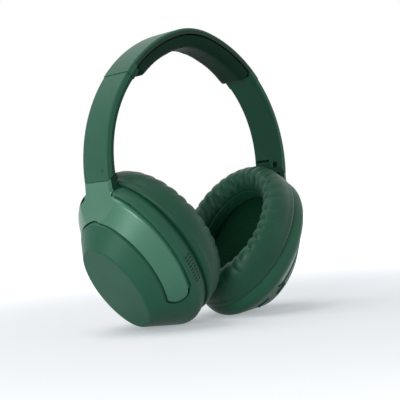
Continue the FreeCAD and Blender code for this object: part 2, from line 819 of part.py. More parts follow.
def make_cushion():
    """The soft ring round the ear: an oval body with a rounded crest, less the flared hole."""
    shares = [0.0, cushion_base_share / 2, cushion_base_share]
    shares += [crest_start + (1 - crest_start) * i / crest_steps for i in range(crest_steps + 1)]
    body = Part.makeLoft([cushion_oval(share) for share in shares], True, True)
    holes = [-0.05, hole_flare_from / 2]
    holes += [hole_flare_from + (1.02 - hole_flare_from) * i / hole_steps for i in range(hole_steps + 1)]
    return body.cut(Part.makeLoft([hole_oval(share) for share in holes], True, True))


def make_board():
    return prism(board_half_y, board_half_z, board_out, board_out + board_thick)


def make_battery():
    low = V(board_out + board_thick, -battery_width / 2, -battery_height / 2)
    return block(low, low + V(battery_thick, battery_width, battery_height))


def exports():
    os.makedirs("parts", exist_ok=True)
    export("headband_shell", make_headband_shell())
    export("headband_spring", make_spring())
    export("headband_pad_carrier", make_carrier())
    export("headband_pad", make_pad())
    pairs = {"band_end_cover": make_end_cover(), "slider": make_slider()}
    arm = make_arm()
    arm_split = make_arm_split()
    pairs["arm_shell"] = arm.cut(arm_split)
    pairs["arm_cover"] = arm.common(arm_split)
    pairs["fold_pin"] = make_fold_pin()
    pairs["arm_screw"] = make_arm_screw()
    in_cup = {"baffle": make_baffle(), "diaphragm": make_diaphragm(), "cushion_plate": make_plate(),
              "grille_cloth": make_cloth(), "ear_cushion": make_cushion(), "circuit_board": make_board()}
    in_cup["yoke_trim"], in_cup["yoke_frame"] = make_yoke()
    in_cup["driver_frame"], in_cup["driver_magnet"] = make_driver()
    in_cup["front_pivot_pin"], in_cup["rear_pivot_pin"] = pivot_rods(pivot_pin_radius, pivot_pin_inner,
                                                                     pivot_pin_outer)
    for name, shape in in_cup.items():
        pairs[name] = placed(shape, cup_place)
    for name, shape in pairs.items():
        export("right_" + name, shape)
        export("left_" + name, mirrored(one(shape)))
    housing = make_housing()
    right = housing
    for name, turn, out in (("power_button", power_button_turn, power_button_out),
                            ("mode_button", mode_button_turn, mode_button_out)):
        right = right.cut(make_button(turn, out, button_gap, button_travel + button_gap))
        export(name, placed(make_button(turn, out), cup_place))
    export("right_cup_shell", placed(right, cup_place))
    export("battery", placed(make_battery(), cup_place))
    left = housing.cut(make_jack(jack_sleeve_radius + fit_gap / 2, -1, jack_depth + 2))
    left = left.cut(make_charge(charge_wall + fit_gap / 2, -1, charge_depth + 3))
    sleeve = make_jack(jack_sleeve_radius, socket_sink, jack_depth + 1)
    sleeve = sleeve.cut(make_jack(jack_radius, socket_sink - 1, jack_depth + 1))
    port = make_charge(charge_wall, socket_sink, charge_depth + 1)
    port = port.cut(make_charge(0, socket_sink - 1, charge_depth + 1))
    export("left_cup_shell", mirrored(one(placed(left, cup_place))))
    export("audio_socket", mirrored(placed(sleeve, cup_place)))
    export("charge_port", mirrored(placed(port, cup_place)))


exports()
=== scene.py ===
import json
import math
import random

import bmesh
import bpy
import numpy as np
from mathutils import Matrix, Vector

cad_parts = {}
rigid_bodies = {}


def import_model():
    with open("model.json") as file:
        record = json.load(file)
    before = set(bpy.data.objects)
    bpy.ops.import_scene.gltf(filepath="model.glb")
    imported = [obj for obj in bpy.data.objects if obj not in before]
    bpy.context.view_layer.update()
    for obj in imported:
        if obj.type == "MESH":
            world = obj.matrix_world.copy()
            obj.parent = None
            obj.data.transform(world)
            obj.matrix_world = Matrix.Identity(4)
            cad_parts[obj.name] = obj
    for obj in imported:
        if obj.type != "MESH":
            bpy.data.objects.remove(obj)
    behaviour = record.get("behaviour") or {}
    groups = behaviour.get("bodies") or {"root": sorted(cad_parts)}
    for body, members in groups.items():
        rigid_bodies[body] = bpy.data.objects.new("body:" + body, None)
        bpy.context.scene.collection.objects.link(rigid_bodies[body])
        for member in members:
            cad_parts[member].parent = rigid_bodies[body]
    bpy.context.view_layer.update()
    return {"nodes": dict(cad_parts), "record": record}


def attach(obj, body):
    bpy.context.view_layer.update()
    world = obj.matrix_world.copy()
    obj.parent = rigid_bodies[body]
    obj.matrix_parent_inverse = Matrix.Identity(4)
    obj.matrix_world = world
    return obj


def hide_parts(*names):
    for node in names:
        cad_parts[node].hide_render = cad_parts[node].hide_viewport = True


# Looks of a folding over-ear headphone. Metres throughout, in the frame of the solid model.

SIDES = ("left", "right")

# Camera, fitted to the photograph
AZIMUTH = math.radians(43.7)
ELEVATION = math.radians(-0.78)
ROLL = math.radians(-4.45)
FOCAL_PIXELS = 1005.0
PHOTO_PIXELS = 400.0
SENSOR = 36.0
DISTANCE = 0.6246
LOOK_AT = Vector((0.00496, 0.0, 0.07376))
CLIP_START = 0.01

# Lamps: name, place, size, power. All point at the middle of the object
LAMPS = (("key", (-1.07, -0.52, 0.24), (0.4, 0.4), 5.2),
         ("top", (-0.35, 0.2, 1.35), (1.0, 1.0), 7.5))
LAMP_TARGET = Vector((0.0, 0.0, 0.08))
SKY_COLOUR, SKY_STRENGTH = (0.93, 0.97, 1.0, 1), 0.2

# Floor: how bright it is by itself near the object, and where it turns white
FLOOR_SIZE = 6.0
FLOOR_COLOUR, GLOW_COLOUR = (0.86, 0.87, 0.89, 1), (0.93, 0.96, 1.0, 1)
FLOOR_ROUGHNESS = 0.9
NEAR_GLOW = 0.34
NEAR_FLOOR, FAR_FLOOR = 0.12, 0.75

# Place and lean of the cups, as in the solid model. The left cup mirrors the right one
CUP_X, CUP_Z = 0.0410, 0.04766
CUP_LEAN = math.radians(35.0)
SEAM_OUT = 0.0003
SEAM_HALF = (0.0365, 0.0482)
BELLY_OUT = 0.0080
BELLY_HALF = (0.0388, 0.0499)
SEAM_DROP = 0.0010

# Arch: the outer profile's two arcs and their centres
TOP_RADIUS, SIDE_RADIUS = 0.0477, 0.0858
JOIN_ANGLE = math.radians(15.5)
ARCH_TOP = 0.17856
TOP_CENTRE_Z = ARCH_TOP - TOP_RADIUS
SIDE_CENTRE_X = -(SIDE_RADIUS - TOP_RADIUS) * math.sin(JOIN_ANGLE)
SIDE_CENTRE_Z = TOP_CENTRE_Z - (SIDE_RADIUS - TOP_RADIUS) * math.cos(JOIN_ANGLE)

# Where the arch's side faces take the pad's colour, and where the arm screw's tip begins
RIM_DEPTH = 0.0012
PAD_ANGLE = math.radians(44.3)
SCREW_TIP_X = 0.0745

# Ear cushion: its base, the hole at the base, and the widest oval
CUSHION_START = -0.00085
CUSHION_DEPTH = 0.0210
CUSHION_HALF = (0.0403, 0.0492)
HOLE_HALF = (0.0249, 0.0310)
CUSHION_TURNS, CUSHION_ROWS = 132, 40
# Its section as a loop: share of the way from the hole to the widest oval, fore-and-aft and upright,
# and the share of the depth from the base
SECTION = (
    (0.900, 0.995, -0.044), (0.965, 1.010, 0.01), (0.995, 1.014, 0.09), (1.008, 1.012, 0.20),
    (1.006, 1.006, 0.38), (0.955, 0.945, 0.58), (0.850, 0.810, 0.76), (0.715, 0.640, 0.89),
    (0.585, 0.490, 0.965), (0.455, 0.370, 1.0), (0.330, 0.270, 0.955), (0.205, 0.175, 0.82),
    (0.070, 0.060, 0.62), (0.0, 0.0, 0.38), (-0.042, -0.036, 0.17), (-0.02, -0.017, 0.015),
    (0.06, 0.05, 0.0), (0.35, 0.42, 0.0), (0.600, 0.800, 0.0), (0.655, 0.862, -0.006),
    (0.675, 0.875, -0.036), (0.740, 0.930, -0.048))
# Steps of the spline through each pair of its knots, and the weight of its shares against its depth
SPLINE_STEPS = 24
SHARE_WEIGHT = 0.4
# Where a point's share of that way is looked for, and in how many halvings
SHARE_RANGE, SHARE_HALVINGS = (-0.9, 2.0), 30

# Pleats: their count and depth, how unevenly they are spaced and drawn in, how sharp their valleys are,
# how far they lean with depth, over which depths they rise, and over which shares and how much they
# fade. Their profile runs a little over one full turn
PLEATS = 34
PLEAT_DEPTH = 0.0014
PLEAT_SPACING = (0.75, 1.25)
PLEAT_STRENGTH = (0.55, 1.0)
PLEAT_SHARPNESS = 0.65
PLEAT_POINTS, PLEAT_OVERRUN = 1440, 0.2
PLEAT_SWAY, PLEAT_WAVES = 0.03, 9
PLEAT_RISE = (0.42, 0.82)
PLEAT_FADE, PLEAT_FADED = (0.45, 0.85), 0.55
PLEAT_SEED = 7

# Sewn line on the hole's wall, in shares of the depth
SEAM_AT, SEAM_DEPTH, SEAM_WIDTH = 0.44, 0.00030, 0.022
WALL_SHARE = 0.3

# Stuffing by cloth simulation: done at a larger scale, with every move capped
STUFF_SCALE = 8.0
STUFF_FRAMES = 16
CLOTH_QUALITY, CLOTH_MASS, CLOTH_STIFFNESS, CLOTH_BENDING = 5, 0.3, 12.0, 2.0
CUSHION_HELD, CUSHION_LEVELS = 0.1, 2
CUSHION_SLACK, CUSHION_SWELL, CUSHION_PRESSURE = 0.0006, 0.0011, 5.0
PAD_VOXEL = 0.0012
PAD_RELAX, PAD_RELAX_STEPS = 0.5, 5
PAD_HELD, PAD_LEVELS = 0.0014, 1
PAD_SWELL, PAD_PRESSURE = 0.0004, 4.0

# Vents on each cup's ring: at the rear of the left one, at the front of the right one
VENT_OUTS = (0.0052, 0.0080)
VENT_ROWS = 9
VENT_FROM, VENT_TO = math.radians(269.0), math.radians(249.0)
VENT_LENGTH, VENT_WIDTH = 0.0021, 0.0008
VENT_POINTS = 12
# The rings of each vent's bar: lift over the surface, and share of the width
VENT_RINGS = ((-0.0003, 1.0), (0.00004, 1.0), (0.00006, 0.8))

# Scales of the textures, in features per metre, and the strength and depth of their bumps
PLASTIC_CLOUD, PLASTIC_MIDDLE, PLASTIC_FINE, PLASTIC_BUMP = 60.0, 700.0, 2600.0, 0.6
LEATHER_CELLS, LEATHER_CREASES, LEATHER_CLOUD, LEATHER_BUMP = 1100.0, 260.0, 45.0, 0.5
KNIT_PITCH, KNIT_WAVES, KNIT_CLOUD, KNIT_BUMP, KNIT_DEPTH = 0.0009, 0.314, 90.0, 0.7, 0.00015
METAL_MARKS, METAL_CLOUD, METAL_STRETCH, METAL_BUMP, METAL_DEPTH = 180.0, 120.0, 30.0, 0.5, 0.00002


def srgb(r, g, b):
    """A colour given as it shows on screen, 0 to 255, as linear values."""
    def lin(v):
        v /= 255.0
        return v / 12.92 if v <= 0.04045 else ((v + 0.055) / 1.055) ** 2.4
    return (lin(r), lin(g), lin(b), 1.0)


GREEN = srgb(40, 96, 73)
TRIM_GREEN = srgb(64, 124, 98)
INNER_GREEN = srgb(24, 60, 46)
COVER_GREEN = srgb(31, 75, 57)
CUSHION_GREEN = srgb(30, 82, 61)
PAD_GREEN = srgb(15, 47, 34)
CLOTH_GREEN = srgb(11, 62, 40)


# Nodes of the materials

def new_material(name):
    mat = bpy.data.materials.new(name)
    mat.use_nodes = True
    tree = mat.node_tree
    return mat, tree.nodes, tree.links, tree.nodes["Principled BSDF"]


def coordinates(nodes):
    """Object coordinates in metres, which every node of the model shares."""
    return nodes.new("ShaderNodeTexCoord").outputs["Object"]


def across_and_up(nodes, links):
    """How far a point lies from the middle plane, and how high."""
    split = nodes.new("ShaderNodeSeparateXYZ")
    links.new(coordinates(nodes), split.inputs["Vector"])
    return math_node(nodes, links, "ABSOLUTE", split.outputs["X"]), split.outputs["Z"]


def noise_texture(nodes, links, vector, scale, detail=4.0, rough=0.5):
    tex = nodes.new("ShaderNodeTexNoise")
    tex.inputs["Scale"].default_value = scale
    tex.inputs["Detail"].default_value = detail
    tex.inputs["Roughness"].default_value = rough
    links.new(vector, tex.inputs["Vector"])
    return tex.outputs["Fac"]


def ramp(nodes, links, value, low, high, start=0.3, end=0.7):
    node = nodes.new("ShaderNodeValToRGB")
    node.color_ramp.elements[0].position = start
    node.color_ramp.elements[0].color = low
    node.color_ramp.elements[1].position = end
    node.color_ramp.elements[1].color = high
    links.new(value, node.inputs["Fac"])
    return node.outputs["Color"]


def spread(nodes, links, value, low, high):
    node = nodes.new("ShaderNodeMapRange")
    node.inputs["To Min"].default_value = low
    node.inputs["To Max"].default_value = high
    links.new(value, node.inputs["Value"])
    return node.outputs["Result"]


def math_node(nodes, links, operation, first, second=None):
    node = nodes.new("ShaderNodeMath")
    node.operation = operation
    for socket, value in zip(node.inputs, (first, second)):
        if isinstance(value, (int, float)):
            socket.default_value = value
        elif value is not None:
            links.new(value, socket)
    return node.outputs["Value"]


def add_bump(nodes, links, shader, heights, depths, strength):
    """Bumps stacked on each other, each a height value with its own depth in metres."""
    normal = None
    for height, depth in zip(heights, depths):
        bump = nodes.new("ShaderNodeBump")
        bump.inputs["Strength"].default_value = strength
        bump.inputs["Distance"].default_value = depth
        links.new(height, bump.inputs["Height"])
        if normal is not None:
            links.new(normal, bump.inputs["Normal"])
        normal = bump.outputs["Normal"]
    links.new(normal, shader.inputs["Normal"])


def shade(colour, factor):
    return tuple(min(1.0, c * factor) for c in colour[:3]) + (1.0,)


def two_tone(nodes, links, shader, mask, colour):
    """A second colour where the mask is 1."""
    mix = nodes.new("ShaderNodeMix")
    mix.data_type = "RGBA"
    factor, first, second, result = mix.inputs[0], mix.inputs[6], mix.inputs[7], mix.outputs[2]
    second.default_value = colour
    links.new(mask, factor)
    links.new(shader.inputs["Base Color"].links[0].from_socket, first)
    links.new(result, shader.inputs["Base Color"])


# Materials

def plastic(name, colour, rough=0.42, grain=0.00002, coat=0.0, metallic=0.0, contrast=0.05, gloss=0.25):
    """Moulded plastic: a fine spark-eroded grain, slight clouding of colour and of gloss."""
    mat, nodes, links, shader = new_material(name)
    vector = coordinates(nodes)
    cloud = noise_texture(nodes, links, vector, PLASTIC_CLOUD, 3.0)
    fine = noise_texture(nodes, links, vector, PLASTIC_FINE, 2.0, 0.6)
    middle = noise_texture(nodes, links, vector, PLASTIC_MIDDLE, 3.0, 0.6)
    links.new(ramp(nodes, links, cloud, shade(colour, 1 - contrast), shade(colour, 1 + contrast)),
              shader.inputs["Base Color"])
    links.new(spread(nodes, links, middle, rough - 0.05, rough + 0.06), shader.inputs["Roughness"])
    add_bump(nodes, links, shader, (fine, middle), (grain, grain * 0.8), PLASTIC_BUMP)
    shader.inputs["Metallic"].default_value = metallic
    shader.inputs["Coat Weight"].default_value = coat
    shader.inputs["Coat Roughness"].default_value = 0.25
    shader.inputs["Specular IOR Level"].default_value = gloss
    return mat


def band_plastic(name, colour, rim_colour):
    """The arch's plastic. Its side faces take the pad's colour over the pad, up to a thin outer edge."""
    mat = plastic(name, colour)
    nodes, links = mat.node_tree.nodes, mat.node_tree.links
    x, z = across_and_up(nodes, links)

    def from_centre(centre_x, centre_z):
        across = math_node(nodes, links, "SUBTRACT", x, centre_x)
        rise = math_node(nodes, links, "SUBTRACT", z, centre_z)
        squares = math_node(nodes, links, "ADD", math_node(nodes, links, "POWER", across, 2.0),
                            math_node(nodes, links, "MULTIPLY", rise, rise))
        return across, rise, math_node(nodes, links, "SQRT", squares)
    _, top_rise, to_top = from_centre(0.0, TOP_CENTRE_Z)
    side_across, side_rise, to_side = from_centre(SIDE_CENTRE_X, SIDE_CENTRE_Z)
    on_side = math_node(nodes, links, "GREATER_THAN",
                        math_node(nodes, links, "MULTIPLY", x, math.cos(JOIN_ANGLE)),
                        math_node(nodes, links, "MULTIPLY", top_rise, math.sin(JOIN_ANGLE)))
    depth_top = math_node(nodes, links, "SUBTRACT", TOP_RADIUS, to_top)
    depth_side = math_node(nodes, links, "SUBTRACT", SIDE_RADIUS, to_side)
    change = math_node(nodes, links, "MULTIPLY", on_side,
                       math_node(nodes, links, "SUBTRACT", depth_side, depth_top))
    depth = math_node(nodes, links, "ADD", depth_top, change)
    deep = math_node(nodes, links, "GREATER_THAN", depth, RIM_DEPTH)
    over_pad = math_node(nodes, links, "LESS_THAN",
                         math_node(nodes, links, "ARCTAN2", side_across, side_rise), PAD_ANGLE)
    two_tone(nodes, links, nodes["Principled BSDF"], math_node(nodes, links, "MULTIPLY", deep, over_pad),
             rim_colour)
    return mat


def leather(name, colour, rough=0.42, grain=0.00010, gloss=0.25):
    """Soft protein leather: small pebbled grain, pores and faint creases."""
    mat, nodes, links, shader = new_material(name)
    vector = coordinates(nodes)
    cells = nodes.new("ShaderNodeTexVoronoi")
    cells.feature = "SMOOTH_F1"
    cells.inputs["Scale"].default_value = LEATHER_CELLS
    cells.inputs["Smoothness"].default_value = 0.4
    links.new(vector, cells.inputs["Vector"])
    creases = noise_texture(nodes, links, vector, LEATHER_CREASES, 5.0, 0.6)
    cloud = noise_texture(nodes, links, vector, LEATHER_CLOUD, 3.0)
    links.new(ramp(nodes, links, cloud, shade(colour, 0.9), shade(colour, 1.1)),
              shader.inputs["Base Color"])
    links.new(spread(nodes, links, creases, rough - 0.07, rough + 0.08), shader.inputs["Roughness"])
    add_bump(nodes, links, shader, (cells.outputs["Distance"], creases), (grain, grain * 0.7), LEATHER_BUMP)
    shader.inputs["Specular IOR Level"].default_value = gloss
    shader.inputs["Sheen Weight"].default_value = 0.03
    shader.inputs["Sheen Roughness"].default_value = 0.45
    return mat


def knit(name, colour):
    """Thin acoustic cloth: rows of small open stitches."""
    mat, nodes, links, shader = new_material(name)
    vector = coordinates(nodes)
    heights = []
    for bands in ("Y", "Z"):
        wave = nodes.new("ShaderNodeTexWave")
        wave.bands_direction = bands
        wave.inputs["Scale"].default_value = KNIT_WAVES / KNIT_PITCH
        wave.inputs["Distortion"].default_value = 0.4
        wave.inputs["Detail"].default_value = 1.0
        links.new(vector, wave.inputs["Vector"])
        heights.append(wave.outputs["Fac"])
    stitches = math_node(nodes, links, "MULTIPLY", *heights)
    cloud = noise_texture(nodes, links, vector, KNIT_CLOUD, 3.0)
    links.new(ramp(nodes, links, stitches, shade(colour, 0.5), shade(colour, 1.15), 0.1, 0.6),
              shader.inputs["Base Color"])
    links.new(spread(nodes, links, cloud, 0.75, 0.95), shader.inputs["Roughness"])
    add_bump(nodes, links, shader, (stitches,), (KNIT_DEPTH,), KNIT_BUMP)
    shader.inputs["Specular IOR Level"].default_value = 0.05
    shader.inputs["Sheen Weight"].default_value = 0.02
    return mat


def metal(name, colour, rough=0.32, brushed=True):
    """Steel with fine drawing marks and slight wear in its gloss."""
    mat, nodes, links, shader = new_material(name)
    vector = coordinates(nodes)
    stretch = nodes.new("ShaderNodeMapping")
    stretch.inputs["Scale"].default_value = (1.0, METAL_STRETCH if brushed else 1.0, 1.0)
    links.new(vector, stretch.inputs["Vector"])
    marks = noise_texture(nodes, links, stretch.outputs["Vector"], METAL_MARKS, 4.0, 0.6)
    cloud = noise_texture(nodes, links, vector, METAL_CLOUD, 2.0)
    links.new(ramp(nodes, links, cloud, shade(colour, 0.9), shade(colour, 1.05)),
              shader.inputs["Base Color"])
    links.new(spread(nodes, links, marks, rough - 0.08, rough + 0.1), shader.inputs["Roughness"])
    add_bump(nodes, links, shader, (marks,), (METAL_DEPTH,), METAL_BUMP)
    shader.inputs["Metallic"].default_value = 1.0
    return mat


def screw_metal(name, colour, tip_colour):
    """Dark steel, with the tip painted over where it comes out on the arm's outer face."""
    mat = metal(name, colour, rough=0.4, brushed=False)
    nodes, links = mat.node_tree.nodes, mat.node_tree.links
    x, _ = across_and_up(nodes, links)
    two_tone(nodes, links, nodes["Principled BSDF"],
             math_node(nodes, links, "GREATER_THAN", x, SCREW_TIP_X), tip_colour)
    return mat


def make_materials():
    return {
        "shell_plastic": plastic("shell_plastic", GREEN),
        "cover_plastic": plastic("cover_plastic", COVER_GREEN, rough=0.5, gloss=0.1),
        "inner_plastic": plastic("inner_plastic", INNER_GREEN, rough=0.5, gloss=0.08),
        "slit_shadow": plastic("slit_shadow", srgb(12, 32, 24), rough=0.8),
        "band_plastic": band_plastic("band_plastic", GREEN, PAD_GREEN),
        "yoke_paint": plastic("yoke_paint", TRIM_GREEN, rough=0.33, metallic=0.15, contrast=0.03, gloss=0.6),
        "cushion_leather": leather("cushion_leather", CUSHION_GREEN),
        "pad_leather": leather("pad_leather", PAD_GREEN, rough=0.6, gloss=0.08),
        "ear_cloth": knit("ear_cloth", CLOTH_GREEN),
        "steel": metal("steel", srgb(190, 190, 188)),
        "spring_steel": metal("spring_steel", srgb(38, 44, 41), rough=0.5),
        "screw": screw_metal("screw", srgb(22, 34, 29), shade(GREEN, 0.8)),
        "magnet": metal("magnet", srgb(150, 150, 152), rough=0.4, brushed=False),
        "diaphragm_film": plastic("diaphragm_film", srgb(175, 155, 125), rough=0.25),
        "board": plastic("board", srgb(24, 92, 55), rough=0.3, coat=0.4),
        "battery_wrap": plastic("battery_wrap", srgb(178, 180, 184), rough=0.35, metallic=0.4),
        "brass": metal("brass", srgb(205, 175, 110), rough=0.3),
    }


def set_material(obj, mat):
    obj.data.materials.clear()
    obj.data.materials.append(mat)


def finish_piece(obj, body, mat_name, materials):
    set_material(obj, materials[mat_name])
    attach(obj, body)


def dress_nodes(materials):
    """Each solid that stays in view gets the material of its slot, or a finish of its own."""
    finishes = {row["node"]: row["material_slot"] for row in frame["record"]["subparts"]}
    finishes["headband_shell"] = "band_plastic"
    finishes["headband_spring"] = "spring_steel"
    for side in SIDES:
        finishes[side + "_arm_cover"] = finishes[side + "_band_end_cover"] = "cover_plastic"
    for name, obj in frame["nodes"].items():
        set_material(obj, materials[finishes[name]])


# Frames and surfaces of the model

class CupFrame:
    """The frame of one cup: out is away from the ear, fore is to the front, up is along the cup."""

    def __init__(self, side):
        self.side = side
        self.sign = -1.0 if side == "left" else 1.0

    def local(self, points):
        """Points of the model as columns out, fore, up."""
        p = np.asarray(points, float)
        x, z = p[..., 0] * self.sign - CUP_X, p[..., 2] - CUP_Z
        c, s = math.cos(CUP_LEAN), math.sin(CUP_LEAN)
        return np.stack((x * c - z * s, p[..., 1], x * s + z * c), axis=-1)

    def world(self, points):
        p = np.asarray(points, float)
        out, fore, up = p[..., 0], p[..., 1], p[..., 2]
        c, s = math.cos(CUP_LEAN), math.sin(CUP_LEAN)
        return np.stack((self.sign * (CUP_X + out * c + up * s), fore, CUP_Z - out * s + up * c), axis=-1)


def ring_surface(out, turn, lift):
    """A place on the housing's ring between its seam and its belly, by its turn from the cup's top."""
    share = max(0.0, (BELLY_OUT - out) / (BELLY_OUT - SEAM_OUT)) ** 2
    half_y, half_z = (b - (b - s) * share + lift for b, s in zip(BELLY_HALF, SEAM_HALF))
    return (out, half_y * math.sin(turn), half_z * math.cos(turn) - SEAM_DROP)


def band_depth(points):
    """How deep points lie under the outer face of the arch and arms."""
    x, z = np.abs(points[:, 0]), points[:, 2]
    on_top = x * math.cos(JOIN_ANGLE) < (z - TOP_CENTRE_Z) * math.sin(JOIN_ANGLE)
    return np.where(on_top, TOP_RADIUS - np.hypot(x, z - TOP_CENTRE_Z),
                    SIDE_RADIUS - np.hypot(x - SIDE_CENTRE_X, z - SIDE_CENTRE_Z))


# Mesh work

def mesh_object(name, verts, faces, smooth=True):
    mesh = bpy.data.meshes.new(name)
    mesh.from_pydata([tuple(v) for v in verts], [], faces)
    mesh.validate()
    obj = bpy.data.objects.new(name, mesh)
    bpy.context.scene.collection.objects.link(obj)
    if smooth:
        mesh.shade_smooth()
    return obj


def ring_faces(turns, rows):
    """Faces of a grid that closes both round the ring and round its section."""
    faces = []
    for i in range(turns):
        for j in range(rows):
            a, b = i * rows + j, i * rows + (j + 1) % rows
            c, d = ((i + 1) % turns) * rows + (j + 1) % rows, ((i + 1) % turns) * rows + j
            faces.append((a, b, c, d))
    return faces


def coordinates_of(obj):
    flat = np.empty(len(obj.data.vertices) * 3)
    obj.data.vertices.foreach_get("co", flat)
    return flat.reshape(-1, 3)


def normals_of(obj):
    return np.array([v.normal for v in obj.data.vertices])


def set_coordinates(obj, points):
    obj.data.vertices.foreach_set("co", np.asarray(points).ravel())
    obj.data.update()


def face_outward(obj):
    mesh = bmesh.new()
    mesh.from_mesh(obj.data)
    bmesh.ops.recalc_face_normals(mesh, faces=mesh.faces)
    mesh.to_mesh(obj.data)
    mesh.free()
    obj.data.shade_smooth()


def apply_modifiers(obj):
    depsgraph = bpy.context.evaluated_depsgraph_get()
    result = bpy.data.meshes.new_from_object(obj.evaluated_get(depsgraph))
    obj.modifiers.clear()
    old = obj.data
    obj.data = result
    result.name = old.name


def subdivide(obj, levels):
    smooth = obj.modifiers.new("smooth", "SUBSURF")
    smooth.levels = smooth.render_levels = levels
    apply_modifiers(obj)
    obj.data.shade_smooth()


def shrink(obj, held, distance):
    """Draws the free part of a skin in along its normals, so that stuffing can swell it back."""
    move = normals_of(obj) * distance
    move[held] = 0.0
    set_coordinates(obj, coordinates_of(obj) - move)


def inflate(obj, held, pressure, cap):
    """Stuffs a closed skin by cloth simulation, with some points held and every move capped."""
    start = coordinates_of(obj)
    centre = start.mean(axis=0)
    set_coordinates(obj, (start - centre) * STUFF_SCALE)
    group = obj.vertex_groups.new(name="held")
    group.add([int(i) for i in held], 1.0, "REPLACE")
    cloth = obj.modifiers.new("stuffing", "CLOTH")
    cloth.settings.quality = CLOTH_QUALITY
    cloth.settings.mass = CLOTH_MASS
    cloth.settings.tension_stiffness = cloth.settings.compression_stiffness = CLOTH_STIFFNESS
    cloth.settings.bending_stiffness = CLOTH_BENDING
    cloth.settings.use_pressure = True
    cloth.settings.uniform_pressure_force = pressure
    cloth.settings.vertex_group_mass = "held"
    cloth.settings.effector_weights.gravity = 0.0
    cloth.point_cache.frame_start = 1
    cloth.point_cache.frame_end = STUFF_FRAMES
    scene = bpy.context.scene
    for step in range(1, STUFF_FRAMES + 1):
        scene.frame_set(step)
    depsgraph = bpy.context.evaluated_depsgraph_get()
    swollen = coordinates_of(obj.evaluated_get(depsgraph)) / STUFF_SCALE + centre
    obj.modifiers.clear()
    obj.vertex_groups.clear()
    scene.frame_set(1)
    move = swollen - start
    length = np.linalg.norm(move, axis=1)
    move *= (cap * np.tanh(length / cap) / np.maximum(length, 1e-9))[:, None]
    set_coordinates(obj, start + move)


# Ear cushions

def smooth_step(a, b, x):
    t = np.clip((x - a) / (b - a), 0.0, 1.0)
    return t * t * (3 - 2 * t)


def between_ovals(share_y, share_z):
    """Half sizes of the oval at a share of the way from the hole to the widest oval."""
    return (HOLE_HALF[0] + share_y * (CUSHION_HALF[0] - HOLE_HALF[0]),
            HOLE_HALF[1] + share_z * (CUSHION_HALF[1] - HOLE_HALF[1]))


def cushion_share(points):
    """Where points of the cup lie between the hole's wall, 0, and the outer wall, 1, and their turn."""
    y, z = points[:, 1], points[:, 2] + SEAM_DROP
    low, high = (np.full(len(y), end) for end in SHARE_RANGE)
    for _ in range(SHARE_HALVINGS):
        mid = (low + high) / 2
        a, b = between_ovals(mid, mid)
        outside = (y / a) ** 2 + (z / b) ** 2 > 1
        low, high = np.where(outside, mid, low), np.where(outside, high, mid)
    return mid, np.arctan2(y / a, z / b) % (2 * math.pi)


def closed_spline(knots, count):
    """Points at even steps along a closed smooth line through the knots."""
    pts = np.array(knots, float)
    n = len(pts)
    dense = []
    for i in range(n):
        p0, p1, p2, p3 = pts[i - 1], pts[i], pts[(i + 1) % n], pts[(i + 2) % n]
        for k in range(SPLINE_STEPS):
            t = k / SPLINE_STEPS
            dense.append(0.5 * (2 * p1 + (p2 - p0) * t + (2 * p0 - 5 * p1 + 4 * p2 - p3) * t ** 2
                                + (3 * p1 - p0 - 3 * p2 + p3) * t ** 3))
    dense = np.array(dense + [dense[0]])
    steps = np.diff(dense * (SHARE_WEIGHT, SHARE_WEIGHT, 1.0), axis=0)
    lengths = np.r_[0, np.cumsum(np.linalg.norm(steps, axis=1))]
    at = np.linspace(0, lengths[-1], count, endpoint=False)
    return np.stack([np.interp(at, lengths, dense[:, k]) for k in range(3)], axis=-1)


def pleat_profile():
    """Turns round the ring and how far each is pressed in by the gathers: sharp valleys, round folds."""
    rng = random.Random(PLEAT_SEED)
    steps = np.array([rng.uniform(*PLEAT_SPACING) for k in range(PLEATS)])
    marks = np.r_[0, np.cumsum(steps)] / steps.sum() * 2 * math.pi
    deeps = [rng.uniform(*PLEAT_STRENGTH) for k in range(PLEATS)]
    deeps = np.array(deeps + deeps[:1])
    turns = np.linspace(0, 2 * math.pi + PLEAT_OVERRUN, PLEAT_POINTS)
    around = turns % (2 * math.pi)
    k = np.clip(np.searchsorted(marks, around, side="right") - 1, 0, PLEATS - 1)
    share = (around - marks[k]) / (marks[k + 1] - marks[k])
    deep = deeps[k] * (1 - share) + deeps[k + 1] * share
    return turns, deep * (1 - np.sin(math.pi * np.clip(share, 0, 1)) ** PLEAT_SHARPNESS)


